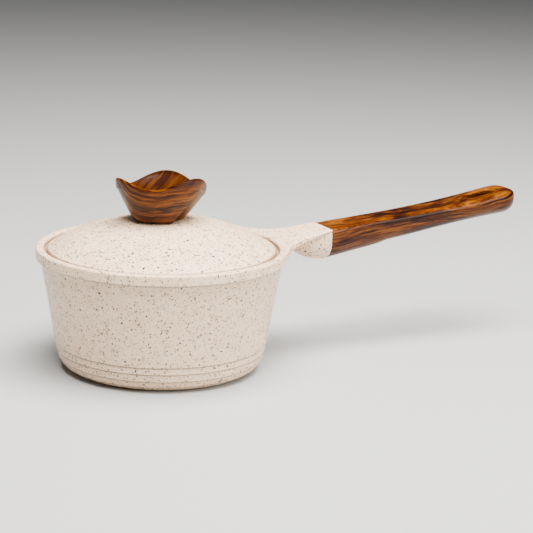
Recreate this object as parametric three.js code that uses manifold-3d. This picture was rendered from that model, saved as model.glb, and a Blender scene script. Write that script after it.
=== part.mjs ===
// Small cast saucepan with a domed cast lid, a moulded wood-effect grip and a petal-shaped knob.
// Millimetres, +Z up. The origin is the centre of the base underside and +X runs along the handle.
import * as THREE from 'three';
import Module from 'manifold-3d';
import { mergeVertices } from 'three/addons/utils/BufferGeometryUtils.js';

const wasm = await Module();
wasm.setup();

// ---- driving dimensions ----
const gap = 0.3; // clearance between two pieces that touch
const rimRadius = 97;
const rimTop = 95;
const rimUnderside = 86.8;
const wallRadius = 93.4; // outside of the wall, just under the rim
const footRadius = 66;
const floorTop = 5.5;
const seatRadius = 90.2; // recess in the rim that takes the lid
const seatFloor = 90.9;
const mouthRadius = 87.4;

const plateRadius = 58;
const plateThickness = 1;
const plateHoleRadius = 2;
const plateHoleRings = 4;
const plateHolePitch = 12;

const jointX = 141; // where the bracket ends and the grip begins
const gripEnd = 321.5;
const gripRoundStart = 303;
const tenonEnd = 175;
const tenonHalfWidth = 9;
const tenonBottom = 86;
const tenonTop = 96;
const slotStart = 274;
const slotEnd = 304;
const slotHalfWidth = 6.2;

const lidRadius = 88.3;
const lidEdgeTop = 93.1;
const domeRise = 19.8;
const shoulderRise = 4; // extra height that makes the dome steeper near its edge
const lidThickness = 2.8;
const lidSkirtRadius = 85.7;
const lidSkirtBottom = 86.5;
const padRadius = 19; // flat on the lid under the knob

const knobBaseRadius = 20.8;
const knobLipRadius = 34.7;
const knobLipLobe = 1.1;
const knobLean = 1; // the lip's centre sits this far off the axis, and the foot's further
const knobFootLean = 3;
const knobLeanAngle = 152.6; // degrees from +X
const knobHeight = 29.5;
const knobWave = 4.5; // height of the three petal tips above the lip's mean
const knobTilt = 3;
const knobSkew = 1.3;
const knobPeakAngle = 56.6;
const knobSeams = 2;
const knobSeamAngle = 273; // foot of the first seam, where one petal overlaps the next
const knobSeamLean = 24;
const knobSeamDepth = 6;
const knobLip = 2.8;

const threadRadius = 2; // M4 screws
const handleScrewX = 160;

const roundSides = 56;

// ---- finishes ----
function finish(colour, roughness, metalness) {
  return new THREE.MeshStandardMaterial({ color: colour, roughness, metalness });
}
const coating = finish(0xe6ddd2, 0.42, 0);
const woodEffect = finish(0x8a4718, 0.3, 0);
const steel = finish(0xb9bcc0, 0.32, 1);
const brass = finish(0xb7924a, 0.35, 1);
const silicone = finish(0x8b8d8e, 0.7, 0);

// ---- shared geometry helpers ----
function point(x, y) {
  return new THREE.Vector2(x, y);
}

// A round body from a profile of (radius, height) points that runs outwards, up and back in.
function turned(profile, sides = roundSides) {
  return new THREE.LatheGeometry(profile, sides).rotateX(Math.PI / 2);
}

// A body through a list of outlines with equal point counts, closed at both ends by fans.
function lofted(outlines) {
  const count = outlines[0].length;
  const vertices = outlines.flat();
  const triangles = [];
  for (let ring = 0; ring + 1 < outlines.length; ring += 1) {
    for (let i = 0; i < count; i += 1) {
      const a = ring * count + i;
      const b = ring * count + ((i + 1) % count);
      triangles.push(a, b, b + count, a, b + count, a + count);
    }
  }
  const firstCentre = vertices.push(middle(outlines[0])) - 1;
  const lastCentre = vertices.push(middle(outlines.at(-1))) - 1;
  const lastRing = (outlines.length - 1) * count;
  for (let i = 0; i < count; i += 1) {
    const next = (i + 1) % count;
    triangles.push(firstCentre, next, i);
    triangles.push(lastCentre, lastRing + i, lastRing + next);
  }
  const geometry = new THREE.BufferGeometry().setFromPoints(vertices);
  geometry.setIndex(triangles);
  return geometry;
}

function middle(outline) {
  const sum = new THREE.Vector3();
  outline.forEach((corner) => sum.add(corner));
  return sum.divideScalar(outline.length);
}

function solid(geometry) {
  geometry.deleteAttribute('normal');
  geometry.deleteAttribute('uv');
  const merged = mergeVertices(geometry, 1e-4);
  const index = merged.index.array;
  const kept = [];
  for (let i = 0; i < index.length; i += 3) {
    const [a, b, c] = [index[i], index[i + 1], index[i + 2]];
    if (a !== b && b !== c && c !== a) {
      kept.push(a, b, c);
    }
  }
  const mesh = new wasm.Mesh({
    numProp: 3,
    vertProperties: new Float32Array(merged.attributes.position.array),
    triVerts: new Uint32Array(kept),
  });
  return new wasm.Manifold(mesh);
}

function geometryOf(body) {
  const mesh = body.getMesh();
  const geometry = new THREE.BufferGeometry();
  geometry.setAttribute('position', new THREE.BufferAttribute(mesh.vertProperties, 3));
  geometry.setIndex(new THREE.BufferAttribute(mesh.triVerts, 1));
  return geometry;
}

function piece(name, body, material) {
  const mesh = new THREE.Mesh(geometryOf(body), material);
  mesh.name = name;
  return mesh;
}

function rod(radius, bottom, top, sides) {
  return turned([point(0, bottom), point(radius, bottom), point(radius, top), point(0, top)], sides);
}

// A smooth function through (x, value) points that never overshoots them.
function smoothThrough(points) {
  const slopes = points.slice(1).map((p, i) => (p[1] - points[i][1]) / (p[0] - points[i][0]));
  const tangents = points.map((_, i) => {
    if (i === 0 || i === slopes.length) {
      return slopes[Math.min(i, slopes.length - 1)];
    }
    const [before, after] = [slopes[i - 1], slopes[i]];
    return before * after <= 0 ? 0 : (2 * before * after) / (before + after);
  });
  return (x) => {
    let i = 0;
    while (i < slopes.length - 1 && x > points[i + 1][0]) {
      i += 1;
    }
    const width = points[i + 1][0] - points[i][0];
    const t = (x - points[i][0]) / width;
    const startWeight = (1 + 2 * t) * (1 - t) ** 2;
    const endWeight = t * t * (3 - 2 * t);
    const bend = t * (1 - t) ** 2 * tangents[i] - t * t * (1 - t) * tangents[i + 1];
    return startWeight * points[i][1] + endWeight * points[i + 1][1] + bend * width;
  };
}

// The grip's cross-section across the handle at x: a flat-topped D with a round belly.
function handleSection(x, halfWidth, top, bottom, points = 24) {
  const shoulder = top - 0.4 * (top - bottom);
  const outline = [];
  for (let i = 0; i < points; i += 1) {
    const angle = (2 * Math.PI * (i + 0.5)) / points;
    const [c, s] = [Math.cos(angle), Math.sin(angle)];
    const power = s > 0 ? 2 / 5.5 : 2 / 2.5;
    const height = s > 0 ? top - shoulder : shoulder - bottom;
    const y = halfWidth * Math.sign(c) * Math.abs(c) ** (s > 0 ? power : 2 / 2.5);
    outline.push(new THREE.Vector3(x, y, shoulder + height * Math.sign(s) * Math.abs(s) ** power));
  }
  return outline;
}

// ---- pan casting ----
// Outside of the bowl: foot, three fine steps, flared wall, and a rolled rim flange.
const bowlOutside = [
  [0, plateThickness + gap], [plateRadius + gap, plateThickness + gap], [plateRadius + gap, 0],
  [footRadius, 0], [70, 0.7], [73, 2], [75.4, 4], [77.4, 6.4], [79, 9.1], [79.6, 9.5],
  [80.6, 15.1], [81.2, 15.5], [81.7, 20.6], [82.3, 21], [88, 55], [93.1, 84], [wallRadius, rimUnderside],
  [rimRadius - 0.4, rimUnderside], [rimRadius, rimUnderside + 0.6],
];
const rimRound = 1.6;
const seatRound = 2.6;

function panOutsideProfile() {
  const profile = bowlOutside.map(([r, z]) => point(r, z));
  for (let step = 0; step <= 3; step += 1) {
    const angle = (Math.PI / 2) * (step / 3);
    const r = rimRadius - rimRound * (1 - Math.cos(angle));
    profile.push(point(r, rimTop - rimRound * (1 - Math.sin(angle))));
  }
  profile.push(point(0, rimTop));
  return profile;
}

function panInsideProfile() {
  const profile = [point(0, floorTop), point(62, floorTop)];
  const floorRound = 13;
  for (let step = 1; step <= 4; step += 1) {
    const angle = (Math.PI / 2) * (step / 4);
    const r = 65.5 + floorRound * Math.sin(angle);
    profile.push(point(r, floorTop + floorRound * (1 - Math.cos(angle))));
  }
  profile.push(point(83.6, 50), point(mouthRadius - 0.4, 86), point(mouthRadius, seatFloor));
  profile.push(point(seatRadius, seatFloor));
  for (let step = 0; step <= 3; step += 1) {
    const angle = (Math.PI / 2) * (step / 3);
    const r = seatRadius + seatRound * (1 - Math.cos(angle));
    profile.push(point(r, rimTop - seatRound * (1 - Math.sin(angle))));
  }
  const clearTop = rimTop + 10;
  profile.push(point(seatRadius + seatRound, clearTop), point(0, clearTop));
  return profile;
}

// Bracket: a thin web that leaves the rim in two wings and narrows to the handle,
// over a boat-shaped boss that ends in the grip's own section.
const webHalfWidth = smoothThrough([
  [72, 65], [85, 48.6], [95, 33.7], [105, 25], [115, 19.7], [125, 17.8], [135, 17], [jointX, 15.9],
]);
const webTop = smoothThrough([[72, 93.5], [95, 93.5], [105, 94.7], [120, 97.3], [jointX, 100]]);
const webEdge = smoothThrough([[72, 6.8], [92, 6.6], [100, 4.9], [120, 4], [130, 2.2], [jointX, 1]]);
const bossHalfWidth = smoothThrough([[103, 2], [112, 9.5], [122, 14], [132, 15.8], [jointX, 15.9]]);
const bossBottom = smoothThrough([
  [103, 90.6], [110, 85.8], [116, 80.5], [122, 77], [130, 74.6], [137, 73.8], [jointX, 74.1],
]);

function webSection(x) {
  const [half, top, edge] = [webHalfWidth(x), webTop(x), webEdge(x)];
  const chamfer = 0.8;
  const corners = [
    [half, top - edge], [half, top - chamfer], [half - chamfer, top],
    [-half + chamfer, top], [-half, top - chamfer], [-half, top - edge],
  ];
  return corners.map(([y, z]) => new THREE.Vector3(x, y, z));
}

function stations(from, to, count) {
  return Array.from({ length: count + 1 }, (_, i) => from + ((to - from) * i) / count);
}

function block(low, high) {
  const [x0, y0, z0] = low;
  const [x1, y1, z1] = high;
  const box = new THREE.BoxGeometry(x1 - x0, y1 - y0, z1 - z0);
  return box.translate((x0 + x1) / 2, (y0 + y1) / 2, (z0 + z1) / 2);
}

const tenonHoleRadius = 3.7;

function panBody() {
  const web = solid(lofted(stations(72, jointX, 15).map(webSection)));
  const bossSections = stations(103, jointX, 10).map((x) =>
    handleSection(x, bossHalfWidth(x), webTop(x) - 0.2, bossBottom(x)));
  const boss = solid(lofted(bossSections));
  const tenon = solid(block([jointX - 2, -tenonHalfWidth, tenonBottom], [tenonEnd, tenonHalfWidth, tenonTop]));
  const cavity = solid(turned(panInsideProfile()));
  const hole = solid(rod(tenonHoleRadius, tenonBottom - 2, tenonTop - 1, 16).translate(handleScrewX, 0, 0));
  return solid(turned(panOutsideProfile())).add(web).add(boss).add(tenon).subtract(cavity).subtract(hole);
}

// ---- magnetic plate pressed into the base, with rings of round holes ----
function circle(x, y, radius, sides) {
  return Array.from({ length: sides }, (_, i) => {
    const angle = (2 * Math.PI * i) / sides;
    return point(x + radius * Math.cos(angle), y + radius * Math.sin(angle));
  });
}

function inductionPlate() {
  const outline = new THREE.Shape(circle(0, 0, plateRadius, roundSides));
  for (let ring = 1; ring <= plateHoleRings; ring += 1) {
    const count = 6 * ring;
    for (let i = 0; i < count; i += 1) {
      const angle = (2 * Math.PI * i) / count;
      const reach = plateHolePitch * ring;
      const hole = circle(reach * Math.cos(angle), reach * Math.sin(angle), plateHoleRadius, 6);
      outline.holes.push(new THREE.Path(hole));
    }
  }
  return solid(new THREE.ExtrudeGeometry(outline, { depth: plateThickness, bevelEnabled: false }));
}

// ---- grip ----
const gripHalfWidth = smoothThrough([
  [jointX, 16], [150, 16.2], [170, 15], [195, 14.3], [215, 14.8], [245, 16.1], [275, 17.4], [gripEnd, 17.8],
]);
const gripTop = smoothThrough([
  [jointX, 100.2], [180, 104.2], [215, 107.5], [245, 110.6], [275, 114.6], [292, 117.4], [gripEnd, 122.5],
]);
const gripBottom = smoothThrough([
  [jointX, 74.1], [165, 78], [189, 82], [197, 84.2], [216, 87], [245, 91.8], [274, 96.5],
  [298, 99.8], [gripEnd, 102.2],
]);

function gripSection(x) {
  const past = Math.max(0, (x - gripRoundStart) / (gripEnd - gripRoundStart));
  const [top, bottom] = [gripTop(x), gripBottom(x)];
  const centre = bottom + 0.5 * (top - bottom);
  const half = 0.5 * (top - bottom) * Math.sqrt(1 - past ** 5);
  return handleSection(x, gripHalfWidth(x) * (1 - past ** 2.3) ** (1 / 2.3), centre + half, centre - half);
}

const screwSeat = 83.4; // the washers bear here, inside the grip's counterbore
const counterboreRadius = 5.3;
const screwClearance = 2.5;

function handleGrip() {
  const straight = stations(jointX + gap, gripRoundStart, 16);
  const rounded = [20, 38, 54, 67, 77, 84].map((degrees) =>
    gripRoundStart + (gripEnd - gripRoundStart) * Math.sin(THREE.MathUtils.degToRad(degrees)));
  const body = solid(lofted([...straight, ...rounded].map(gripSection)));
  const socket = solid(block(
    [jointX - 1, -tenonHalfWidth - gap, tenonBottom - gap],
    [tenonEnd + gap, tenonHalfWidth + gap, tenonTop + gap],
  ));
  const slotRadius = slotHalfWidth;
  const slotShape = new THREE.Shape().absarc(slotEnd - slotRadius, 0, slotRadius, -Math.PI / 2, Math.PI / 2);
  slotShape.absarc(slotStart + slotRadius, 0, slotRadius, Math.PI / 2, (3 * Math.PI) / 2);
  const slot = new THREE.ExtrudeGeometry(slotShape, { depth: 60, bevelEnabled: false, curveSegments: 8 });
  const counterbore = rod(counterboreRadius, 60, screwSeat, 20).translate(handleScrewX, 0, 0);
  const shankHole = rod(screwClearance, 60, tenonBottom, 16).translate(handleScrewX, 0, 0);
  return body
    .subtract(socket)
    .subtract(solid(slot.translate(0, 0, 70)))
    .subtract(solid(counterbore))
    .subtract(solid(shankHole));
}

// ---- lid ----
function domeHeight(radius) {
  const share = Math.max(radius, padRadius) / lidRadius;
  return lidEdgeTop + domeRise * (1 - share ** 2) + shoulderRise * (1 - share ** 6);
}

const padTop = domeHeight(0);
const padUnderside = padTop - lidThickness;
const lidHoleRadius = 3;

function lidBody() {
  const underside = [30, 42, 54, 65, 75, 81].map((r) => point(r, domeHeight(r) - lidThickness));
  const outside = [87.7, 85, 80, 73, 65, 56, 47, 38, 29, padRadius].map((r) => point(r, domeHeight(r)));
  const skirtInside = lidSkirtRadius - 2.8;
  const flangeBottom = seatFloor + gap;
  const profile = [
    point(lidHoleRadius, padUnderside), point(padRadius, padUnderside), ...underside,
    point(skirtInside, flangeBottom + 1), point(skirtInside, lidSkirtBottom),
    point(lidSkirtRadius, lidSkirtBottom), point(lidSkirtRadius, flangeBottom),
    point(lidRadius - 0.4, flangeBottom), point(lidRadius, flangeBottom + 0.4),
    point(lidRadius, lidEdgeTop - 0.9), ...outside,
    point(lidHoleRadius, padTop), point(lidHoleRadius, padUnderside),
  ];
  return solid(turned(profile));
}

// ---- knob: overlapping petals that flare from a small foot to a wavy lip ----
const knobBase = padTop + gap;
const petalShares = [0, 0.02, ...Array.from({ length: 16 }, (_, i) => 0.06 + (0.94 * i) / 15)];

function wave(degrees, times, from) {
  return Math.cos(THREE.MathUtils.degToRad(times * (degrees - from)));
}

function lipHeight(degrees) {
  const tips = knobWave * wave(degrees, 3, knobPeakAngle);
  return knobHeight + tips + knobTilt * wave(degrees, 1, 242.6) - knobSkew * wave(degrees, 2, -5.4);
}

// A ring round the knob: each petal ends at its seam, where the next one starts further in.
function petalRing(rise, radius, heightAt, seamDepth) {
  const outline = [];
  const petalAngle = 360 / knobSeams;
  for (let petal = 0; petal < knobSeams; petal += 1) {
    for (const share of petalShares) {
      const degrees = knobSeamAngle + knobSeamLean * Math.min(1, rise) + (petal + share) * petalAngle;
      const angle = THREE.MathUtils.degToRad(degrees);
      const lobe = knobLipLobe * rise * wave(degrees, 3, knobPeakAngle);
      const reach = radius + lobe - seamDepth * Math.max(0, 1 - share / 0.5) ** 1.5;
      const lean = knobLean + (knobFootLean - knobLean) * (1 - rise);
      const leanAngle = THREE.MathUtils.degToRad(knobLeanAngle);
      const x = reach * Math.cos(angle) + lean * Math.cos(leanAngle);
      const y = reach * Math.sin(angle) + lean * Math.sin(leanAngle);
      outline.push(new THREE.Vector3(x, y, knobBase + heightAt(degrees)));
    }
  }
  return outline;
}

function lidKnob() {
  const rings = [];
  for (const rise of [0, 0.08, 0.2, 0.35, 0.5, 0.65, 0.8, 0.92, 1]) {
    const radius = knobBaseRadius + (knobLipRadius - knobBaseRadius) * (1 - (1 - rise) ** 1.6);
    const seamDepth = knobSeamDepth * Math.max(0, 1 - rise / 0.86);
    rings.push(petalRing(rise, radius, (degrees) => (lipHeight(degrees) - 1) * rise, seamDepth));
  }
  const bowl = [[1, 1.3], [0.96, knobLip], [0.84, 6], [0.7, 11.5], [0.58, 18], [0.5, 27]];
  for (const [rise, inset] of bowl) {
    const wavy = rise ** 3;
    const level = (degrees) => rise * knobHeight + wavy * (lipHeight(degrees) - knobHeight);
    rings.push(petalRing(1, knobLipRadius - inset, level, 0));
  }
  const insertHole = rod(insertRadius + gap, knobBase - 2, insertTop + gap, 16);
  return solid(lofted(rings)).subtract(solid(insertHole));
}

// ---- fasteners ----
const insertRadius = 3.4;
const insertTop = knobBase + 9.5;
const headRadius = 3.8;
const headHeight = 2.6;

// Pan-head screw with a cross recess; its head is below and its shank points up.
function screw(headTop, shankTop) {
  const headBottom = headTop - headHeight;
  const profile = [
    point(0, headBottom), point(headRadius - 1, headBottom), point(headRadius, headBottom + 0.9),
    point(headRadius, headTop), point(threadRadius, headTop), point(threadRadius, shankTop - 0.6),
    point(threadRadius - 0.6, shankTop), point(0, shankTop),
  ];
  const slotHalf = 0.45;
  const reach = 2;
  const depth = 1.2;
  const across = block([-reach, -slotHalf, headBottom - 1], [reach, slotHalf, headBottom + depth]);
  const along = block([-slotHalf, -reach, headBottom - 1], [slotHalf, reach, headBottom + depth]);
  return solid(turned(profile, 20)).subtract(solid(across)).subtract(solid(along));
}

function tube(innerRadius, outerRadius, bottom, top, sides = 24) {
  return solid(turned([
    point(innerRadius, bottom), point(outerRadius, bottom), point(outerRadius, top),
    point(innerRadius, top), point(innerRadius, bottom),
  ], sides));
}

// Spring lock washer: a square-section ring with one cut.
function splitWasher(bottom, top) {
  const cut = 0.14;
  const outline = new THREE.Shape().absarc(0, 0, headRadius, cut, 2 * Math.PI - cut);
  outline.absarc(0, 0, threadRadius + gap, 2 * Math.PI - cut, cut, true);
  const ring = new THREE.ExtrudeGeometry(outline, { depth: top - bottom, bevelEnabled: false, curveSegments: 20 });
  return solid(ring.translate(0, 0, bottom));
}

const flatWasher = 0.8;
const springWasher = 1;
const sealThickness = 1.5;

const handleWasherTop = screwSeat - gap;
const handleSpringTop = handleWasherTop - flatWasher - gap;
const handleHeadTop = handleSpringTop - springWasher - gap;

const sealTop = padUnderside - gap;
const knobWasherTop = sealTop - sealThickness - gap;
const knobSpringTop = knobWasherTop - flatWasher - gap;
const knobHeadTop = knobSpringTop - springWasher - gap;

const boreRadius = threadRadius + gap;

// ---- assembly ----
const pan = new THREE.Group();
pan.add(piece('pan_body', panBody(), coating));
pan.add(piece('induction_plate', inductionPlate(), steel));
pan.add(piece('handle_grip', handleGrip(), woodEffect));

const handleFixing = new THREE.Group();
handleFixing.position.set(handleScrewX, 0, 0);
handleFixing.add(piece('handle_screw', screw(handleHeadTop, tenonTop - 1.6), steel));
handleFixing.add(piece('handle_spring_washer',
  splitWasher(handleSpringTop - springWasher, handleSpringTop), steel));
handleFixing.add(piece('handle_flat_washer',
  tube(boreRadius, 4.9, handleWasherTop - flatWasher, handleWasherTop), steel));
handleFixing.add(piece('bracket_thread_insert',
  tube(boreRadius, tenonHoleRadius - gap, tenonBottom + 0.2, tenonTop - 1 - gap, 16), steel));
pan.add(handleFixing);

const lid = new THREE.Group();
lid.add(piece('lid_body', lidBody(), coating));
lid.add(piece('lid_knob', lidKnob(), woodEffect));
lid.add(piece('knob_thread_insert', tube(boreRadius, insertRadius, knobBase + 0.2, insertTop, 16), brass));
lid.add(piece('knob_seal_washer', tube(boreRadius, 7.5, sealTop - sealThickness, sealTop), silicone));
lid.add(piece('knob_flat_washer', tube(boreRadius, 6, knobWasherTop - flatWasher, knobWasherTop), steel));
lid.add(piece('knob_spring_washer', splitWasher(knobSpringTop - springWasher, knobSpringTop), steel));
lid.add(piece('knob_screw', screw(knobHeadTop, insertTop - 1), steel));

const saucepan = new THREE.Group();
saucepan.add(pan, lid);

export default saucepan;
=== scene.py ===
"""Small cast saucepan with a domed cast lid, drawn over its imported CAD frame.

Lengths in the shape code are millimetres in the row frame: +Z up, the origin at the centre of the
base and +X along the handle. They become metres where a mesh is made.
"""

import math

import bmesh
import bpy
from mathutils import Matrix, Vector


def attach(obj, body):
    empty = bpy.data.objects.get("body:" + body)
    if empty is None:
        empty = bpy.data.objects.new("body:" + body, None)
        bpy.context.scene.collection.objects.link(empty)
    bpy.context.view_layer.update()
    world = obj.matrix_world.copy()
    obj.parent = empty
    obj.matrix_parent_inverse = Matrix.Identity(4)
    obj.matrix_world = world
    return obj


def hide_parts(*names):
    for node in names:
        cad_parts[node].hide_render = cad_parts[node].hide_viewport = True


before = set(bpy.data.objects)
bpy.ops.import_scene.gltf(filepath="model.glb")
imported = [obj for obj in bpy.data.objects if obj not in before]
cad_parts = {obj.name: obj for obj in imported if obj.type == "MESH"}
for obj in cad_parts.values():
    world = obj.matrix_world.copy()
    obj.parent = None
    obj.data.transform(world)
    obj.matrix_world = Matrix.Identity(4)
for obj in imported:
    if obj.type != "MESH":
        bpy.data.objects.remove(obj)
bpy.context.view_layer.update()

MM = 0.001
SIDES = 192  # round a large turned piece
SMALL_SIDES = 64
SHARP = math.radians(32)  # an edge that turns more than this stays crisp
AXIS = 0.01  # the radius at which a turned skin meets its own axis

# ---- sizes shared by several pieces ----
RIM_RADIUS = 97
RIM_TOP = 95
RIM_UNDERSIDE = 86.8
RIM_ROUND = 1.6
WALL_RADIUS = 93.4
LAND_RADIUS = 92.8  # where the rim's flat top meets the fillet of the lid seat
SEAT_RADIUS = 90.8
SEAT_FLOOR = 90.9
# fine steps low on the wall: height, then the radius above, in and below the crease
WALL_STEPS = ((20.7, 82.4, 81.4, 81.6), (15.2, 81.3, 80.3, 80.5), (9.2, 79.8, 78.7, 78.8))
STEP_REACH = 0.6
FOOT_CREASE = 4
FLOOR_TOP = 5.5
PLATE_RADIUS = 58
PLATE_THICKNESS = 1
GAP = 0.3

JOINT_X = 141
GRIP_END = 321
GRIP_ROUND_START = 302
SCREW_X = 160
SCREW_SEAT = 83.4
TENON_END = 175

LID_RADIUS = 88.2
LID_EDGE_TOP = 93.1
LID_THICKNESS = 2.8
PAD_RADIUS = 19

KNOB_FOOT = 20.8
KNOB_LIP = 34.7
KNOB_HEIGHT = 29.3


# ---- curves ----
def smooth_through(points):
    """A smooth function through (x, value) points, level outside them, that never overshoots."""
    slopes = [(b[1] - a[1]) / (b[0] - a[0]) for a, b in zip(points, points[1:])]
    tangents = [slopes[0]]
    for before, after in zip(slopes, slopes[1:]):
        same_way = before * after > 0
        tangents.append(2 * before * after / (before + after) if same_way else 0)
    tangents.append(slopes[-1])

    def value(x):
        x = min(max(x, points[0][0]), points[-1][0])
        i = 0
        while i < len(slopes) - 1 and x > points[i + 1][0]:
            i += 1
        width = points[i + 1][0] - points[i][0]
        t = (x - points[i][0]) / width
        start = (1 + 2 * t) * (1 - t) ** 2 * points[i][1]
        end = t * t * (3 - 2 * t) * points[i + 1][1]
        bend = t * (1 - t) ** 2 * tangents[i] - t * t * (1 - t) * tangents[i + 1]
        return start + end + bend * width

    return value


def spread(start, end, count):
    """count + 1 even values from start to end."""
    return [start + (end - start) * i / count for i in range(count + 1)]


def arc(centre, radius, start, end, count=8):
    """Points of a circle arc in a profile; the angles are in degrees from outwards to up."""
    turns = [math.radians(a) for a in spread(start, end, count)]
    return [(centre[0] + radius * math.cos(a), centre[1] + radius * math.sin(a)) for a in turns]


def softened(corners):
    """A profile of (radius, height) or (radius, height, fillet) corners, with the fillets drawn."""
    steps = 5
    profile = []
    for i, corner in enumerate(corners):
        here = Vector(corner[:2])
        if len(corner) == 2:
            profile.append(tuple(here))
            continue
        before, after = Vector(corners[i - 1][:2]), Vector(corners[i + 1][:2])
        back, ahead = before - here, after - here
        turn = math.pi - back.angle(ahead)
        reach = min(corner[2] * math.tan(turn / 2), 0.45 * back.length, 0.45 * ahead.length)
        first, last = here + back.normalized() * reach, here + ahead.normalized() * reach
        for t in spread(0, 1, steps):
            profile.append(tuple(first * (1 - t) ** 2 + here * 2 * t * (1 - t) + last * t * t))
    return profile


def superellipse(angle, power):
    c, s = math.cos(angle), math.sin(angle)
    return math.copysign(abs(c) ** power, c), math.copysign(abs(s) ** power, s)


# ---- meshes ----
def skin(columns, ring=False):
    """Vertices and quads over a closed run of equal columns.

    With ring, each column closes on itself; without it, both ends are capped by fans.
    """
    count, length = len(columns), len(columns[0])
    vertices = [Vector(p) for column in columns for p in column]
    faces = []
    for i in range(count):
        here, beside = i * length, (i + 1) % count * length
        for k in range(length if ring else length - 1):
            above = (k + 1) % length
            faces.append((here + k, beside + k, beside + above, here + above))
    if not ring:
        for row in (0, length - 1):
            rim = [i * length + row for i in range(count)]
            vertices.append(sum((vertices[i] for i in rim), Vector()) / count)
            faces += [(a, b, len(vertices) - 1) for a, b in zip(rim, rim[1:] + rim[:1])]
    return vertices, faces


def mesh_object(name, vertices, faces):
    mesh = bpy.data.meshes.new(name)
    mesh.from_pydata([v * MM for v in vertices], [], faces)
    built = bmesh.new()
    built.from_mesh(mesh)
    bmesh.ops.remove_doubles(built, verts=built.verts, dist=1e-6)
    bmesh.ops.dissolve_degenerate(built, edges=built.edges, dist=1e-7)
    bmesh.ops.recalc_face_normals(built, faces=built.faces)
    built.to_mesh(mesh)
    built.free()
    body = bpy.data.objects.new(name, mesh)
    bpy.context.scene.collection.objects.link(body)
    return body


def turned(name, profile, sides=SIDES, ring=False, centre=(0, 0)):
    turns = [2 * math.pi * i / sides for i in range(sides)]
    columns = [
        [(centre[0] + r * math.cos(a), centre[1] + r * math.sin(a), z) for r, z in profile]
        for a in turns
    ]
    return mesh_object(name, *skin(columns, ring))


def lofted(name, sections):
    """A solid through outlines with equal point counts."""
    return mesh_object(name, *skin(list(zip(*sections))))


def block(name, low, high):
    corners = [(low[0], low[1]), (high[0], low[1]), (high[0], high[1]), (low[0], high[1])]
    return lofted(name, [[(x, y, z) for x, y in corners] for z in (low[2], high[2])])


def combine(body, tool, operation="DIFFERENCE"):
    """Joins tool to body, or cuts it away, and uses tool up."""
    step = body.modifiers.new(operation, "BOOLEAN")
    step.operation = operation
    step.solver = "MANIFOLD"
    step.object = tool
    bpy.context.view_layer.objects.active = body
    bpy.ops.object.modifier_apply(modifier=step.name)
    bpy.data.objects.remove(tool)
    return body


def shade(body, angle=SHARP):
    body.data.shade_smooth()
    body.data.set_sharp_from_angle(angle=angle)
    weighted = body.modifiers.new("even_shading", "WEIGHTED_NORMAL")
    weighted.keep_sharp = True
    return body


# ---- pan casting: bowl, rim and the winged bracket in one skin ----
web_half_width = smooth_through([
    (72, 65), (85, 48.6), (95, 33.7), (105, 25), (115, 19.7), (125, 17.8), (135, 17), (JOINT_X, 15.9),
])
web_top = smooth_through([
    (LAND_RADIUS, RIM_TOP), (100, 95.1), (106, 95.5), (113, 96.3), (120, 97.3), (130, 98.7),
    (JOINT_X, 100),
])
web_edge = smooth_through([
    (60, RIM_TOP - RIM_UNDERSIDE), (72, 8), (85, 7.2), (92, 6.5), (100, 5), (120, 4), (130, 2.2),
    (JOINT_X, 1),
])
boss_half_width = smooth_through([(103, 2), (112, 9.5), (122, 14), (132, 15.8), (JOINT_X, 15.9)])
boss_bottom = smooth_through([
    (103, 90.6), (110, 85.8), (116, 80.5), (122, 77), (130, 74.6), (137, 73.8), (JOINT_X, 74.1),
])


def plan_outline():
    """The casting's outline from above: the bracket's end, its flanks, then round the rim."""
    corner = web_half_width(JOINT_X)
    half = [(JOINT_X, y) for y in spread(0, corner, 10)]
    wing_start = 72
    half += [(x, web_half_width(x)) for x in spread(JOINT_X, wing_start, 60)[1:]]
    wing_angle = math.atan2(web_half_width(wing_start), wing_start)
    for angle in spread(wing_angle, math.pi, 80)[1:]:
        half.append((RIM_RADIUS * math.cos(angle), RIM_RADIUS * math.sin(angle)))
    mirrored = [(x, -y) for x, y in reversed(half[1:-1])]
    return [Vector(p) for p in half + mirrored]


def inside_profile():
    floor_round = 13
    profile = [(AXIS, FLOOR_TOP), (30, FLOOR_TOP), (62, FLOOR_TOP)]
    profile += arc((65.5, FLOOR_TOP + floor_round), floor_round, -90, -3, 10)
    walls = softened([
        (83.6, 50), (87, 86), (87.4, SEAT_FLOOR, 0.8), (SEAT_RADIUS, SEAT_FLOOR, 0.6),
        (SEAT_RADIUS, 92.3),
    ])
    fillet = LAND_RADIUS - SEAT_RADIUS
    return profile + walls + arc((LAND_RADIUS, RIM_TOP - fillet), fillet, 180, 90, 8)


def outside_profile():
    """From under the rim down the flared wall, over three fine steps to the foot and the plate."""
    corners = [
        (WALL_RADIUS + 0.7, RIM_UNDERSIDE), (WALL_RADIUS, RIM_UNDERSIDE, 0.7), (93.1, 84), (88, 55),
    ]
    for height, above, crease, below in WALL_STEPS:
        corners += [
            (above, height + STEP_REACH, 0.4), (crease, height, 0.3), (below, height - STEP_REACH, 0.6),
        ]
    return softened(corners + [
        (77.2, 5.7, 2), (75.9, 4.1, 0.3), (75.1, FOOT_CREASE, 0.3), (72.6, 1.9, 4),
        (69.5, 0.5, 6), (66, 0, 8), (PLATE_RADIUS + GAP, 0, 0.4),
        (PLATE_RADIUS + GAP, PLATE_THICKNESS + GAP), (30, PLATE_THICKNESS + GAP),
        (AXIS, PLATE_THICKNESS + GAP),
    ])


def smoothstep(t):
    t = min(max(t, 0), 1)
    return t * t * (3 - 2 * t)


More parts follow.
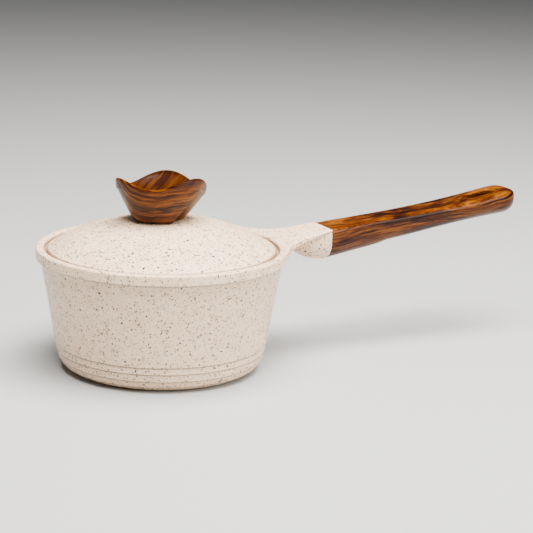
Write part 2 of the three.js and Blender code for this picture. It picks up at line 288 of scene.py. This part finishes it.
def casting_skin():
    """One column per outline point: up the inside, over the land, round the edge and down."""
    outline = plan_outline()
    inside, outside = inside_profile(), outside_profile()
    columns = []
    for i, edge in enumerate(outline):
        ahead, behind = outline[(i + 1) % len(outline)], outline[i - 1]
        along = (ahead - behind).normalized()
        outward = Vector((along.y, -along.x))
        spoke = edge.normalized()
        # the edge has no rounding where it meets the grip
        rounding = RIM_ROUND * smoothstep((JOINT_X - edge.x) / 7)
        top = web_top(edge.x)
        low = top - web_edge(edge.x)
        start, land_end = spoke * LAND_RADIUS, edge - outward * rounding
        column = [(*(spoke * r), z) for r, z in inside]
        for share in (0.1, 0.22, 0.36, 0.5, 0.64, 0.78, 0.9):
            p = start.lerp(land_end, share)
            column.append((*p, web_top(p.x)))
        for turn in spread(90, 0, 6):
            a = math.radians(turn)
            p = edge - outward * rounding * (1 - math.cos(a))
            column.append((*p, top - rounding * (1 - math.sin(a))))
        for turn in spread(0, -90, 4):
            a = math.radians(turn)
            small = 0.35 * rounding
            p = edge - outward * small * (1 - math.cos(a))
            column.append((*p, low + small * (1 + math.sin(a))))
        under_start, under_end = edge - outward * 0.4 * rounding, spoke * (WALL_RADIUS + 0.7)
        for share in (0.15, 0.35, 0.55, 0.75, 0.9):
            p = under_start.lerp(under_end, share)
            column.append((*p, low + (RIM_UNDERSIDE - low) * smoothstep(share)))
        column += [(*(spoke * r), z) for r, z in outside]
        columns.append(column)
    return columns


# how flat the top of the handle is: crisp where the bracket meets the grip, softer further out
top_flatness = smooth_through([(103, 7), (150, 7), (200, 5), (300, 4)])


def handle_section(x, half_width, top, bottom):
    """The handle's cross-section at x: a flat-topped D with a round belly."""
    points, shoulder_share, belly_roundness = 120, 0.4, 2.1
    shoulder = top - shoulder_share * (top - bottom)
    section = []
    for i in range(points):
        angle = 2 * math.pi * (i + 0.5) / points
        if math.sin(angle) > 0:
            across, up = superellipse(angle, 2 / top_flatness(x))
            section.append((x, half_width * across, shoulder + (top - shoulder) * up))
        else:
            across, up = superellipse(angle, 2 / belly_roundness)
            section.append((x, half_width * across, shoulder + (shoulder - bottom) * up))
    return section


def pan_body():
    body = mesh_object("pan_casting", *skin(casting_skin()))
    boss = lofted("boss", [
        handle_section(x, boss_half_width(x), web_top(x) - 0.25, boss_bottom(x))
        for x in spread(103, JOINT_X, 40)
    ])
    tenon = block("tenon", (JOINT_X - 2, -9, 86), (TENON_END, 9, 96))
    hole = turned("hole", [(3.7, 84), (3.7, 95)], SMALL_SIDES, centre=(SCREW_X, 0))
    combine(body, boss, "UNION")
    combine(body, tenon, "UNION")
    combine(body, hole)
    return shade(body)


# ---- magnetic plate with rings of round holes ----
def base_plate():
    edge = 0.2
    profile = softened([
        (AXIS, 0), (50, 0), (PLATE_RADIUS, 0, edge), (PLATE_RADIUS, PLATE_THICKNESS, edge),
        (50, PLATE_THICKNESS), (AXIS, PLATE_THICKNESS),
    ])
    plate = turned("base_plate", profile)
    rings, pitch, hole_radius, hole_sides = 4, 12, 2, 32
    columns, faces = [], []
    for ring in range(1, rings + 1):
        for i in range(6 * ring):
            angle = 2 * math.pi * i / (6 * ring)
            x, y = pitch * ring * math.cos(angle), pitch * ring * math.sin(angle)
            turns = [2 * math.pi * k / hole_sides for k in range(hole_sides)]
            reach = [(hole_radius * math.cos(a), hole_radius * math.sin(a)) for a in turns]
            hole = [[(x + u, y + v, z) for z in (-1, PLATE_THICKNESS + 1)] for u, v in reach]
            points, quads = skin(hole)
            faces += [tuple(k + len(columns) for k in quad) for quad in quads]
            columns += points
    combine(plate, mesh_object("plate_holes", columns, faces))
    return shade(plate)


# ---- grip ----
grip_half_width = smooth_through([
    (JOINT_X, 16), (150, 16.2), (170, 15), (195, 14.3), (215, 14.8), (245, 16.1), (275, 17.4),
    (GRIP_END, 17.8),
])
grip_top = smooth_through([
    (JOINT_X, 100.2), (180, 104.2), (215, 107.5), (245, 110.6), (275, 114.6), (292, 117.5),
    (GRIP_END, 122.4),
])
grip_bottom = smooth_through([
    (JOINT_X, 74.1), (165, 78), (189, 82), (197, 84.2), (216, 87), (245, 91.8), (274, 96.1),
    (298, 98.6), (GRIP_END, 100.6),
])


def grip_section(x, inset=0):
    past = max(0, (x - GRIP_ROUND_START) / (GRIP_END - GRIP_ROUND_START))
    top, bottom = grip_top(x), grip_bottom(x)
    centre = bottom + 0.5 * (top - bottom)
    bluntness, plan_power = 5, 2.3  # how squarely the far end stops, from the side and from above
    half = 0.5 * (top - bottom) * math.sqrt(1 - past ** bluntness) - inset
    width = grip_half_width(x) * (1 - past ** plan_power) ** (1 / plan_power) - inset
    return handle_section(x, width, centre + half, centre - half)


def slot_cutter():
    """A long hole through the grip, with its edges rolled over at the top and the bottom."""
    start, end, half_width, roll = 274, 304, 6.2, 1.6
    levels = [(8, roll), (0, roll)] + [
        (-roll * math.sin(math.radians(a)), roll * (1 - math.sin(math.radians(a))))
        for a in (15, 35, 60, 90)
    ]
    turns = [2 * math.pi * i / SMALL_SIDES for i in range(SMALL_SIDES)]

    def ring(surface, side, level, widening):
        outline = []
        for a in turns:
            middle = end - half_width if math.cos(a) > 0 else start + half_width
            x = middle + (half_width + widening) * math.cos(a)
            y = (half_width + widening) * math.sin(a)
            outline.append((x, y, surface(x) + side * level))
        return outline

    upper = [ring(grip_top, 1, *level) for level in levels]
    lower = [ring(grip_bottom, -1, *level) for level in reversed(levels)]
    return lofted("slot", upper + lower)


def handle_grip():
    edge_round = 0.6
    sections = [
        grip_section(JOINT_X + GAP + edge_round * (1 - math.cos(math.radians(a))),
                     edge_round * (1 - math.sin(math.radians(a))))
        for a in (0, 30, 60, 90)
    ]
    sections += [grip_section(x) for x in spread(JOINT_X + 2, GRIP_ROUND_START, 70)]
    reach = GRIP_END - GRIP_ROUND_START
    for angle in list(spread(5, 80, 18)) + [82.5, 85, 87, 88.5]:
        sections.append(grip_section(GRIP_ROUND_START + reach * math.sin(math.radians(angle))))
    grip = lofted("grip", sections)
    socket = block("socket", (JOINT_X - 1, -9.3, 85.7), (TENON_END + GAP, 9.3, 96.3))
    counterbore = turned("counterbore", [(5.3, 60), (5.3, SCREW_SEAT)], SMALL_SIDES, centre=(SCREW_X, 0))
    shank_hole = turned("shank_hole", [(2.5, 60), (2.5, 87)], SMALL_SIDES, centre=(SCREW_X, 0))
    for tool in (slot_cutter(), socket, counterbore, shank_hole):
        combine(grip, tool)
    return shade(grip)


# ---- lid ----
def dome_height(radius):
    """Height of the lid's outside: a flat pad in the middle, then a dome that steepens outwards."""
    round_rise, steep_rise = 19.8, 4
    share = max(radius, PAD_RADIUS) / LID_RADIUS
    return LID_EDGE_TOP + round_rise * (1 - share ** 2) + steep_rise * (1 - share ** 6)


PAD_TOP = dome_height(0)
PAD_UNDERSIDE = PAD_TOP - LID_THICKNESS


def lid_body():
    hole_radius, skirt_radius, skirt_bottom, skirt_top_radius = 3, 85.7, 86.5, 81.4
    skirt_inside = skirt_radius - LID_THICKNESS
    flange_bottom = SEAT_FLOOR + GAP
    edge_round = 1.7
    underside = [(r, dome_height(r) - LID_THICKNESS) for r in spread(PAD_RADIUS, 80, 34)]
    shoulder = LID_RADIUS - edge_round
    outside = [(r, dome_height(r)) for r in reversed(spread(PAD_RADIUS, shoulder, 46))]
    edge_top = dome_height(shoulder)
    edge = arc((shoulder, edge_top - edge_round), edge_round, 0, 75, 7)
    profile = [(hole_radius, PAD_UNDERSIDE), *underside]
    profile += softened([
        (skirt_top_radius, dome_height(skirt_top_radius) - LID_THICKNESS),
        (skirt_inside, flange_bottom + 1, 1.2),
        (skirt_inside, skirt_bottom, 0.9), (skirt_radius, skirt_bottom, 0.9),
        (skirt_radius, flange_bottom, 0.5), (LID_RADIUS, flange_bottom, 0.5),
        (LID_RADIUS, edge_top - edge_round - 0.1),
    ])
    profile += edge + outside + [(hole_radius, PAD_TOP)]
    return shade(turned("lid_casting", profile, ring=True))


# ---- knob: overlapping petals that flare from a small foot to a wavy lip ----
KNOB_BASE = PAD_TOP + GAP
INSERT_RADIUS = 3.4
INSERT_TOP = KNOB_BASE + 9.5
PEAKS = 3
PEAK_ANGLE = 56.6  # one of the lip's peaks, in degrees from +X
PEAK_RISE = 4.5
PEAK_BULGE = 1.1
TILT, TILT_ANGLE = 3, 242.6  # the whole lip tilts up towards this angle
SKEW, SKEW_ANGLE = 1.3, -5.4
LEAN, LEAN_ANGLE = 3, math.radians(152.6)  # the foot lies off the axis this way, and less at the lip
SEAM_FOOT = 275.5  # where the first seam starts at the foot, in degrees
SEAM_LEAN = 37  # degrees that a seam turns by on its way up
SEAM_DEPTH = 9
SEAM_TOP = 0.8  # share of the height at which the seam fades out
SEAMS = 2
LIP_ROUND = 1.4
KNOB_SHARP = math.radians(40)
# the start of each petal tucks in behind the last: (turn back in degrees, share of the depth)
TUCK = [(0, 0.28), (4, 0.34), (6, 0.6), (5, 1), (2, 1.06)]


def wave(degrees, times, start):
    return math.cos(math.radians(times * (degrees - start)))


def lip_height(degrees):
    tips = PEAK_RISE * wave(degrees, PEAKS, PEAK_ANGLE)
    return KNOB_HEIGHT + tips + TILT * wave(degrees, 1, TILT_ANGLE) - SKEW * wave(degrees, 2, SKEW_ANGLE)


def petal_ring(rise, radius, height_at, seam_depth):
    """A ring round the knob: each petal ends at its seam, where the next starts further in."""
    outline = []
    lean = LEAN - 2 * rise
    tuck = [(0, -turn * seam_depth / SEAM_DEPTH, recess) for turn, recess in TUCK]
    free = [(share, 0, max(0, 1 - share / 0.55) ** 1.4) for share in spread(0.02, 1, 80)]
    for petal in range(SEAMS):
        for share, turn, recess in tuck + free:
            degrees = SEAM_FOOT + SEAM_LEAN * rise + (petal + share) * 360 / SEAMS + turn
            lobe = PEAK_BULGE * rise * wave(degrees, PEAKS, PEAK_ANGLE)
            reach = radius + lobe - seam_depth * recess
            x = reach * math.cos(math.radians(degrees)) + lean * math.cos(LEAN_ANGLE)
            y = reach * math.sin(math.radians(degrees)) + lean * math.sin(LEAN_ANGLE)
            outline.append((x, y, KNOB_BASE + height_at(degrees)))
    return outline


def lid_knob():
    foot_round = 0.8
    rings = []
    for a in (0, 30, 60):
        turn = math.radians(a)
        inset, lift = foot_round * (1 - math.sin(turn)), foot_round * (1 - math.cos(turn))
        rings.append(petal_ring(0, KNOB_FOOT - inset, lambda _, z=lift: z, SEAM_DEPTH))
    for rise in spread(0.03, 1, 44):
        radius = KNOB_FOOT + (KNOB_LIP - KNOB_FOOT) * (1 - (1 - rise) ** 1.7)
        depth = SEAM_DEPTH * max(0, 1 - rise / SEAM_TOP) ** 0.6
        rings.append(petal_ring(
            rise, radius, lambda d, rise=rise: (lip_height(d) - LIP_ROUND) * rise, depth))
    for angle in spread(15, 165, 10):
        turn = math.radians(angle)
        inset, drop = LIP_ROUND * (1 - math.cos(turn)), LIP_ROUND * (1 - math.sin(turn))
        rings.append(petal_ring(1, KNOB_LIP - inset, lambda d, drop=drop: lip_height(d) - drop, 0))
    inner_rise = smooth_through([
        (2 * LIP_ROUND, 1 - LIP_ROUND / KNOB_HEIGHT), (6, 0.84), (11.5, 0.7), (18, 0.58), (27, 0.5),
        (KNOB_LIP, 0.48),
    ])
    for inset in spread(2 * LIP_ROUND, KNOB_LIP - 1.5, 30):
        rise = inner_rise(inset)
        rings.append(petal_ring(
            1, KNOB_LIP - inset,
            lambda d, rise=rise: rise * KNOB_HEIGHT + rise ** 3 * (lip_height(d) - KNOB_HEIGHT), 0))
    knob = lofted("knob", rings)
    insert_hole = [(INSERT_RADIUS + GAP, KNOB_BASE - 2), (INSERT_RADIUS + GAP, INSERT_TOP + GAP)]
    combine(knob, turned("insert_hole", insert_hole, SMALL_SIDES))
    return shade(knob, KNOB_SHARP)


# ---- materials ----
class Graph:
    """A small helper that adds and wires shader nodes."""

    def __init__(self, name):
        self.material = bpy.data.materials.new(name)
        self.material.use_nodes = True
        self.tree = self.material.node_tree
        self.surface = self.tree.nodes["Principled BSDF"]
        place = self.add("ShaderNodeTexCoord").outputs["Object"]
        self.position = self.vector_math("SCALE", place, scale=1 / MM)

    def add(self, kind, **settings):
        node = self.tree.nodes.new(kind)
        for key, value in settings.items():
            setattr(node, key, value)
        return node

    def feed(self, socket, value):
        if isinstance(value, bpy.types.NodeSocket):
            self.tree.links.new(value, socket)
        else:
            socket.default_value = value

    def vector_math(self, operation, first, second=None, scale=None):
        node = self.add("ShaderNodeVectorMath", operation=operation)
        self.feed(node.inputs[0], first)
        if second is not None:
            self.feed(node.inputs[1], second)
        if scale is not None:
            node.inputs["Scale"].default_value = scale
        return node.outputs["Value" if operation in ("LENGTH", "DOT_PRODUCT") else "Vector"]

    def math(self, operation, first, second=0.0):
        node = self.add("ShaderNodeMath", operation=operation)
        self.feed(node.inputs[0], first)
        self.feed(node.inputs[1], second)
        return node.outputs[0]

    def noise(self, vector, scale, detail=2.0, roughness=0.5, colour=False):
        node = self.add("ShaderNodeTexNoise")
        self.feed(node.inputs["Vector"], vector)
        node.inputs["Scale"].default_value = scale
        node.inputs["Detail"].default_value = detail
        node.inputs["Roughness"].default_value = roughness
        return node.outputs["Color" if colour else "Fac"]

    def mix(self, amount, first, second):
        node = self.add("ShaderNodeMix", data_type="RGBA")
        self.feed(node.inputs["Factor"], amount)
        self.feed(node.inputs[6], first)
        self.feed(node.inputs[7], second)
        return node.outputs[2]

    def remap(self, value, low, high, to_low=0.0, to_high=1.0):
        node = self.add("ShaderNodeMapRange", interpolation_type="SMOOTHSTEP")
        for key, setting in (("Value", value), ("From Min", low), ("From Max", high),
                             ("To Min", to_low), ("To Max", to_high)):
            self.feed(node.inputs[key], setting)
        return node.outputs["Result"]

    def ramp(self, value, stops):
        node = self.add("ShaderNodeValToRGB")
        self.feed(node.inputs["Fac"], value)
        elements = node.color_ramp.elements
        for position, colour in stops[2:]:
            elements.new(position)
        for element, (position, colour) in zip(elements, stops):
            element.position = position
        for element, (position, colour) in zip(elements, stops):
            element.color = (*colour, 1)
        return node.outputs["Color"]

    def bump(self, height, depth, strength=1.0):
        node = self.add("ShaderNodeBump")
        node.inputs["Strength"].default_value = strength
        node.inputs["Distance"].default_value = depth * MM
        self.feed(node.inputs["Height"], height)
        self.feed(self.surface.inputs["Normal"], node.outputs["Normal"])

    def set(self, **values):
        for key, value in values.items():
            self.feed(self.surface.inputs[key.replace("_", " ")], value)


def specks(graph, place, cell, radius, share, soft):
    """Round-ish specks: a mask and a random colour source, one speck at most per cell."""
    cells = graph.add("ShaderNodeTexVoronoi", feature="F1")
    graph.feed(cells.inputs["Vector"], place)
    cells.inputs["Scale"].default_value = 1 / cell
    chance = graph.add("ShaderNodeSeparateColor")
    graph.feed(chance.inputs[0], cells.outputs["Color"])
    size = graph.math("MULTIPLY", chance.outputs["Green"], 0.75 * radius / cell)
    size = graph.math("ADD", size, 0.45 * radius / cell)
    edge = graph.math("SUBTRACT", size, cells.outputs["Distance"])
    inside = graph.remap(edge, 0.0, soft * radius / cell)
    shown = graph.math("LESS_THAN", chance.outputs["Red"], share)
    return graph.math("MULTIPLY", inside, shown), chance.outputs["Blue"]


def coating(name, gap_start, gap_top, creases=(), speck_size=1.0):
    """Cream ceramic non-stick coating with dark brown specks.

    It is warm and dim in the gap round the lid, from gap_start outwards and below gap_top.
    Each of creases is a height, a half width and a strength of shade on the bowl: a step or the
    underside of the rim.
    """
    cream, warm_cream, dusty = (0.86, 0.625, 0.425, 1), (0.79, 0.54, 0.345, 1), (0.5, 0.36, 0.26, 1)
    crease_shade, gap_shade, gap_depth = (0.2, 0.17, 0.1, 1), (0.2, 0.105, 0.055, 1), 0.75
    graph = Graph(name)
    place = graph.position
    wander = graph.noise(place, 1.1, 3, colour=True)
    shift = graph.vector_math("SUBTRACT", wander, (0.5, 0.5, 0.5))
    torn = graph.vector_math("ADD", place, graph.vector_math("SCALE", shift, scale=3.0))
    cloud = graph.noise(place, 0.16, 3, 0.6)
    colour = graph.mix(graph.remap(cloud, 0.3, 0.7), cream, warm_cream)
    grain = graph.noise(place, 1.5, 3, 0.65)
    colour = graph.mix(graph.remap(grain, 0.52, 0.8, 0, 0.5), colour, dusty)
    # each layer: cell size, speck radius, share of cells used, edge softness, two tints, strength
    layers = (
        (1.5, 0.52, 0.6, 0.4, (0.1, 0.06, 0.035), (0.32, 0.21, 0.14), 0.9),
        (1.8, 0.66, 0.6, 0.15, (0.003, 0.002, 0.0015), (0.04, 0.018, 0.01), 1.0),
        (3.6, 0.9, 0.5, 0.2, (0.003, 0.002, 0.001), (0.025, 0.008, 0.004), 1.0),
    )
    for cell, radius, share, soft, dark, light, strength in layers:
        mask, pick = specks(graph, torn, cell, speck_size * radius, share, soft)
        tint = graph.mix(pick, (*dark, 1), (*light, 1))
        colour = graph.mix(graph.math("MULTIPLY", mask, strength), colour, tint)
    height = graph.vector_math("DOT_PRODUCT", place, (0, 0, 1))
    flat = graph.vector_math("MULTIPLY", place, (1.0, 1.0, 0.0))
    reach = graph.vector_math("LENGTH", flat)
    on_bowl = graph.math("LESS_THAN", reach, RIM_RADIUS + 1.0)
    for level, half_width, depth in creases:
        away = graph.math("ABSOLUTE", graph.math("SUBTRACT", height, level))
        shaded = graph.math("MULTIPLY", graph.remap(away, half_width, 0.0, 0.0, depth), on_bowl)
        colour = graph.mix(shaded, colour, crease_shade)
    # light that has bounced between the lid's edge and its seat is warm and dim
    in_gap = graph.math("MULTIPLY", graph.remap(reach, gap_start, gap_start + 0.8),
                        graph.remap(reach, SEAT_RADIUS + 1.0, SEAT_RADIUS + 0.4))
    low = graph.math("MULTIPLY", graph.remap(height, gap_top, gap_top - 1.0),
                     graph.remap(height, SEAT_FLOOR - 1.0, SEAT_FLOOR - 0.5))
    dimmed = graph.math("MULTIPLY", in_gap, graph.math("MULTIPLY", low, gap_depth))
    colour = graph.mix(dimmed, colour, gap_shade)
    graph.bump(graph.noise(place, 0.9, 3), 0.05, 0.5)
    graph.set(Base_Color=colour, Roughness=graph.remap(cloud, 0.3, 0.7, 0.38, 0.46))
    graph.set(Coat_Weight=0.25, Coat_Roughness=0.22)
    return graph.material


WOOD_TONES = [
    (0.0, (0.002, 0.0005, 0.0002)),
    (0.3, (0.009, 0.0016, 0.0002)),
    (0.45, (0.03, 0.0055, 0.0001)),
    (0.62, (0.068, 0.0155, 0.0002)),
    (0.85, (0.14, 0.04, 0.0008)),
]
VIEW_RIGHT = (0.8911, -0.4538, 0.0)  # level directions that the knob's print runs by
VIEW_AWAY = (0.4538, 0.8911, 0.0)


def grip_grain(graph):
    """Growth rings round a line under the grip, drifting slowly along it."""
    heart, slope = (JOINT_X, 16, 40), 0.118
    place = graph.vector_math("SUBTRACT", graph.position, heart)
    along = graph.vector_math("DOT_PRODUCT", place, (1, 0, 0))
    across = graph.vector_math("DOT_PRODUCT", place, (0, 1, 0))
    height = graph.vector_math("DOT_PRODUCT", place, (-slope, 0, 1))
    flat = graph.add("ShaderNodeCombineXYZ")
    graph.feed(flat.inputs[0], across)
    graph.feed(flat.inputs[1], height)
    rings = graph.vector_math("LENGTH", flat.outputs[0])
    drift_size = 11.0
    drift = graph.noise(graph.vector_math("MULTIPLY", place, (0.013, 0.03, 0.03)), 1.0, 2)
    rings = graph.math("ADD", rings, graph.math("MULTIPLY", drift, drift_size))
    return along, rings, across, 0.0


def knob_grain(graph):
    """A print that falls down one side of the knob, then runs level round its front.

    Inside the cup, at the back, the same print runs on the slant. The last value returned is painted
    shade: a shadow line beside the front seam and the dark inside of the cup.
    """
    lid_top = (0, 0, PAD_TOP)
    place = graph.vector_math("SUBTRACT", graph.position, lid_top)
    along = graph.vector_math("DOT_PRODUCT", place, VIEW_RIGHT)
    depth = graph.vector_math("DOT_PRODUCT", place, VIEW_AWAY)
    height = graph.vector_math("DOT_PRODUCT", place, (0, 0, 1))
    # towards one side the stripes turn downwards, ever faster, by a power of growth
    side, fall, growth, climb = -30.0, 9.0, 2.718, 0.14
    past_side = graph.math("MULTIPLY", graph.math("SUBTRACT", side, along), 1 / fall)
    turn = graph.math("POWER", growth, past_side)
    front = graph.math("SUBTRACT", height, graph.math("MULTIPLY", along, climb))
    front = graph.math("SUBTRACT", front, graph.math("MULTIPLY", turn, 1.6 * fall))
    level_part, falling_part = 0.72, -0.69
    slant_way = (level_part * VIEW_RIGHT[0], level_part * VIEW_RIGHT[1], falling_part)
    slant = graph.vector_math("DOT_PRODUCT", place, slant_way)
    behind = graph.remap(depth, 2, 8)
    rings = graph.math("ADD", graph.math("MULTIPLY", front, graph.math("SUBTRACT", 1.0, behind)),
                       graph.math("MULTIPLY", slant, behind))
    # the petal tucked behind the front seam has its own stripes, which run along the seam
    seam_foot, seam_slope = 8.0, 0.815
    seam = graph.math("SUBTRACT", along, graph.math("MULTIPLY", height, seam_slope))
    seam = graph.math("SUBTRACT", seam, seam_foot)
    tucked = graph.math("MULTIPLY", graph.remap(seam, 0.0, 0.5),
                        graph.math("SUBTRACT", 1.0, behind))
    rings = graph.math("ADD", graph.math("MULTIPLY", rings, graph.math("SUBTRACT", 1.0, tucked)),
                       graph.math("MULTIPLY", graph.math("MULTIPLY", seam, 0.9), tucked))
    drift, drift_size = graph.noise(graph.position, 0.05, 2), 5.0
    rings = graph.math("ADD", rings, graph.math("MULTIPLY", drift, drift_size))
    # painted shadow: a nearly black line on the tucked petal beside the seam, where the front petal
    # shades it
    below_lip = graph.remap(height, 27, 23)
    seam_shadow = graph.math("MULTIPLY", graph.remap(seam, 2.8, 2.0, 0.0, 0.98), below_lip)
    seam_shadow = graph.math("MULTIPLY", tucked, seam_shadow)
    # inside the cup, where the wall faces the knob's axis, little light gets in
    facing = graph.add("ShaderNodeTexCoord").outputs["Normal"]
    outwards = graph.vector_math("MULTIPLY", place, (1.0, 1.0, 0.0))
    facing_out = graph.vector_math("DOT_PRODUCT", facing, outwards)
    in_cup = graph.remap(facing_out, 0.0, -8.0, 0.0, 0.66)
    finer = 1.3
    return along, graph.math("MULTIPLY", rings, finer), depth, graph.math("MAXIMUM", seam_shadow, in_cup)


def wood_effect(name, grain_of, stretch):
    """Glossy dark-striped wood print; stretch is how much slower it changes along the grain."""
    pore_tint, shade_tint = (0.02, 0.005, 0.002, 1), (0.012, 0.002, 0.0005, 1)
    graph = Graph(name)
    along, rings, across, shade_there = grain_of(graph)
    grain = graph.add("ShaderNodeCombineXYZ")
    graph.feed(grain.inputs[0], graph.math("MULTIPLY", along, stretch))
    graph.feed(grain.inputs[1], rings)
    graph.feed(grain.inputs[2], graph.math("MULTIPLY", across, 0.05))
    grain = grain.outputs[0]
    bands = graph.noise(grain, 0.26, 3, 0.6)
    streaks = graph.noise(graph.vector_math("MULTIPLY", grain, (1.2, 1.0, 1.0)), 1.0, 4, 0.65)
    pores = graph.noise(graph.vector_math("MULTIPLY", grain, (4.0, 2.2, 2.0)), 1.0, 2)
    tone = graph.math("ADD", graph.math("MULTIPLY", bands, 0.5), graph.math("MULTIPLY", streaks, 0.5))
    colour = graph.ramp(graph.remap(tone, 0.28, 0.68), WOOD_TONES)
    colour = graph.mix(graph.remap(pores, 0.54, 0.72, 0, 0.6), colour, pore_tint)
    # painted shade: darker towards shade_tint where grain_of gives shade (the knob's seam line and the
    # inside of its cup)
    colour = graph.mix(shade_there, colour, shade_tint)
    graph.bump(tone, 0.08, 0.25)
    graph.set(Base_Color=colour, Roughness=graph.remap(tone, 0.3, 0.7, 0.42, 0.3))
    graph.set(Coat_Weight=0.12, Coat_Roughness=0.1, Specular_IOR_Level=0.12)
    return graph.material


def metal(name, tint, roughness, rings=False):
    """Bare metal with fine turning marks, or faint scratches."""
    graph = Graph(name)
    if rings:
        flat = graph.vector_math("MULTIPLY", graph.position, (1.0, 1.0, 0.0))
        marks = graph.add("ShaderNodeCombineXYZ")
        graph.feed(marks.inputs[0], graph.vector_math("LENGTH", flat))
        texture = graph.noise(marks.outputs[0], 3.0, 4, 0.7)
    else:
        texture = graph.noise(graph.position, 1.8, 4, 0.65)
    light = tuple(min(1, 1.12 * c) for c in tint)
    graph.bump(texture, 0.02, 0.6)
    graph.set(Base_Color=graph.mix(texture, (*tint, 1), (*light, 1)), Metallic=1.0)
    graph.set(Roughness=graph.remap(texture, 0.3, 0.7, roughness - 0.06, roughness + 0.08))
    return graph.material


def rubber():
    graph = Graph("grey_silicone")
    fine = graph.noise(graph.position, 2.5, 3)
    graph.set(Base_Color=graph.mix(fine, (0.22, 0.225, 0.23, 1), (0.3, 0.305, 0.31, 1)))
    graph.set(Roughness=0.65)
    graph.bump(fine, 0.03, 0.5)
    return graph.material


# ---- assembly ----
crease_levels = [step[0] for step in WALL_STEPS] + [FOOT_CREASE]
wall_creases = [(level, 0.9, 0.75) for level in crease_levels]
under_rim = (RIM_UNDERSIDE - 0.3, 1.7, 0.85)
pan_coating = coating(
    "speckled_pan", LID_RADIUS - 0.9, RIM_TOP - 1.6, creases=[*wall_creases, under_rim])
lid_coating = coating("speckled_lid", LID_RADIUS - 2.0, RIM_TOP - 0.3, speck_size=1.1)
steel = metal("bright_steel", (0.56, 0.565, 0.57), 0.3)
plate_steel = metal("turned_steel", (0.5, 0.5, 0.5), 0.34, rings=True)
brass = metal("brass", (0.55, 0.38, 0.14), 0.32)
seal = rubber()
grip_wood = wood_effect("grip_wood", grip_grain, 0.05)
knob_wood = wood_effect("knob_wood", knob_grain, 0.06)

built = (
    (pan_body(), "pan", "pan_body", "coating", pan_coating),
    (base_plate(), "pan", "induction_plate", "base_plate", plate_steel),
    (handle_grip(), "pan", "handle_grip", "wood_effect", grip_wood),
    (lid_body(), "lid", "lid_body", "coating", lid_coating),
    (lid_knob(), "lid", "lid_knob", "wood_effect", knob_wood),
)
for piece, body, node, slot, material in built:
    piece.data.materials.clear()
    piece.data.materials.append(material)
    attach(piece, body)
    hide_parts(node)

cad_finishes = {
    "handle_screw": steel, "handle_spring_washer": steel, "handle_flat_washer": steel,
    "bracket_thread_insert": steel, "knob_screw": steel, "knob_spring_washer": steel,
    "knob_flat_washer": steel, "knob_thread_insert": brass, "knob_seal_washer": seal,
}
for node, material in cad_finishes.items():
    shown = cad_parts[node]
    shown.data.materials.clear()
    shown.data.materials.append(material)


# ---- studio ----
def area_light(name, place, target, size, power, colour=(1, 1, 1)):
    lamp = bpy.data.lights.new(name, "AREA")
    lamp.shape = "RECTANGLE"
    lamp.size, lamp.size_y = size
    lamp.energy = power
    lamp.color = colour
    holder = bpy.data.objects.new(name, lamp)
    holder.location = place
    holder.rotation_euler = (Vector(target) - Vector(place)).to_track_quat("-Z", "Y").to_euler()
    bpy.context.scene.collection.objects.link(holder)
    return holder


soft_white, warm_white = (1, 0.98, 0.95), (1, 0.97, 0.93)
overhead = area_light("overhead", (0.1, -0.35, 1.5), (0.05, 0, 0.05), (1.5, 1.1), 150, soft_white)
overhead.visible_glossy = False
area_light("top_strip", (0.2, -0.2, 1.3), (0.05, 0, 0.05), (0.9, 0.12), 5)
area_light("right_key", (0.75, -1.35, 0.8), (0.03, 0, 0.06), (0.9, 0.9), 26, warm_white)
area_light("left_fill", (-1.3, -0.6, 0.6), (0, 0, 0.06), (0.8, 0.9), 1.5, warm_white)

world = bpy.data.worlds.new("studio")
world.use_nodes = True
background = world.node_tree.nodes["Background"]
background.inputs["Color"].default_value = (0.92, 0.95, 1, 1)
background.inputs["Strength"].default_value = 0.11
bpy.context.scene.world = world

floor_mesh = bpy.data.meshes.new("floor")
half_floor = 6
floor_mesh.from_pydata(
    [(-half_floor, -half_floor, 0), (half_floor, -half_floor, 0), (half_floor, half_floor, 0),
     (-half_floor, half_floor, 0)], [], [(0, 1, 2, 3)])
floor = bpy.data.objects.new("floor", floor_mesh)
floor.location.z = -GAP * MM
bpy.context.scene.collection.objects.link(floor)
pale = bpy.data.materials.new("pale_floor")
pale.use_nodes = True
pale_surface = pale.node_tree.nodes["Principled BSDF"]
pale_surface.inputs["Base Color"].default_value = (0.42, 0.42, 0.415, 1)
pale_surface.inputs["Roughness"].default_value = 0.6
floor_mesh.materials.append(pale)

camera = bpy.data.objects.new("camera", bpy.data.cameras.new("camera"))
camera.data.sensor_width = 36
camera.data.lens = 121.6
right = Vector((0.8906, -0.4540, 0.0275)).normalized()
up = Vector((0.0841, 0.2238, 0.9710))
back = right.cross(up).normalized()
up = back.cross(right)
camera_place = (-0.5501, -1.2368, 0.4112)
aim = Matrix((right, up, back)).transposed().to_4x4()
camera.matrix_world = Matrix.Translation(camera_place) @ aim
bpy.context.scene.collection.objects.link(camera)
bpy.context.scene.camera = camera
